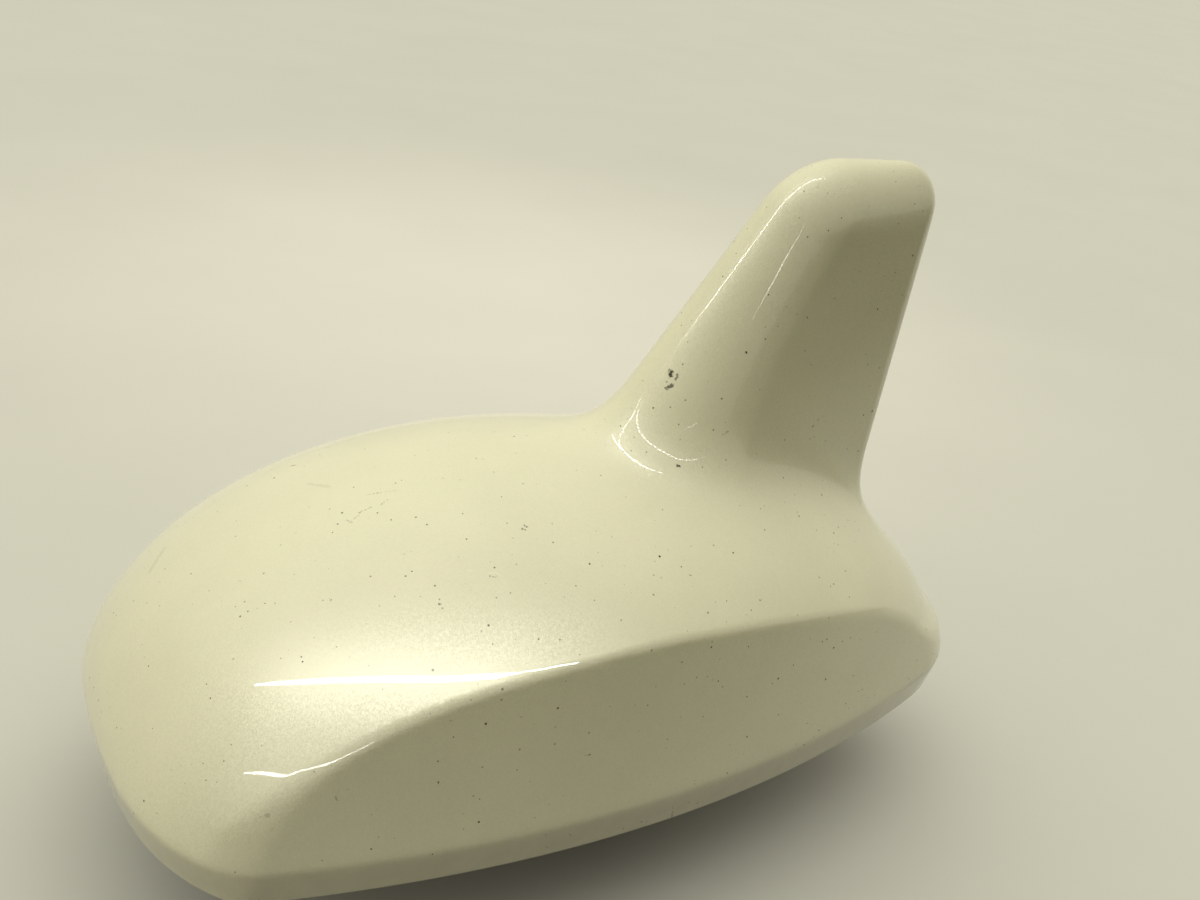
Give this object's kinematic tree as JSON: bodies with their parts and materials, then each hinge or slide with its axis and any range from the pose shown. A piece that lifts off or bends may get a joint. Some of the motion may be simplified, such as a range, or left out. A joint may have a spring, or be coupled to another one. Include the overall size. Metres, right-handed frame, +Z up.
{
  "type": "shark fin aerial",
  "caption": "Vehicle roof aerial with a domed cover, creased sides and an upright swept fin, on a cast base with a hollow threaded stud, holding its antenna boards.",
  "frame": {"origin": "on the axis of the roof stud, at the underside of the roof seal, which lies on the roof skin", "axes": "+Z up away from the roof, +X from the nose to the tail, +Y completes a right-handed frame"},
  "size_m": [0.125, 0.0638, 0.0922],
  "materials": {
    "pearl_paint": "glossy pearl paint, cream white with fine flake, small specks and chips",
    "gasket_rubber": "matt",
    "cast_zinc": "fine cast grain",
    "seal_rubber": "matt",
    "plated_steel": "zinc plated, threaded",
    "gland_rubber": "matt",
    "screw_steel": "zinc plated",
    "board_laminate": "green solder resist",
    "adhesive_pad": "soft adhesive film",
    "patch_ceramic": "unglazed, silvered on top",
    "pin_brass": "bright",
    "chip_plastic": "moulded",
    "tinned_sheet": "tinned sheet",
    "clip_brass": "rolled spring sheet",
    "foam": "open cell foam"
  },
  "bodies": {
    "root": {"cover": "pearl_paint", "cover_gasket": "gasket_rubber", "base_plate": "cast_zinc", "roof_seal": "seal_rubber", "roof_stud": "plated_steel", "lead_gland": "gland_rubber", "cover_screws": "screw_steel", "board_screws": "screw_steel", "main_board": "board_laminate", "fin_board": "board_laminate", "patch_pad": "adhesive_pad", "patch_element": "patch_ceramic", "patch_pin": "pin_brass", "amplifier_chips": "chip_plastic", "shield_can": "tinned_sheet", "phone_element": "tinned_sheet", "fin_board_clips": "clip_brass", "ground_springs": "clip_brass", "fin_foam": "foam", "coax_jacks": "pin_brass"}
  },
  "joints": []
}
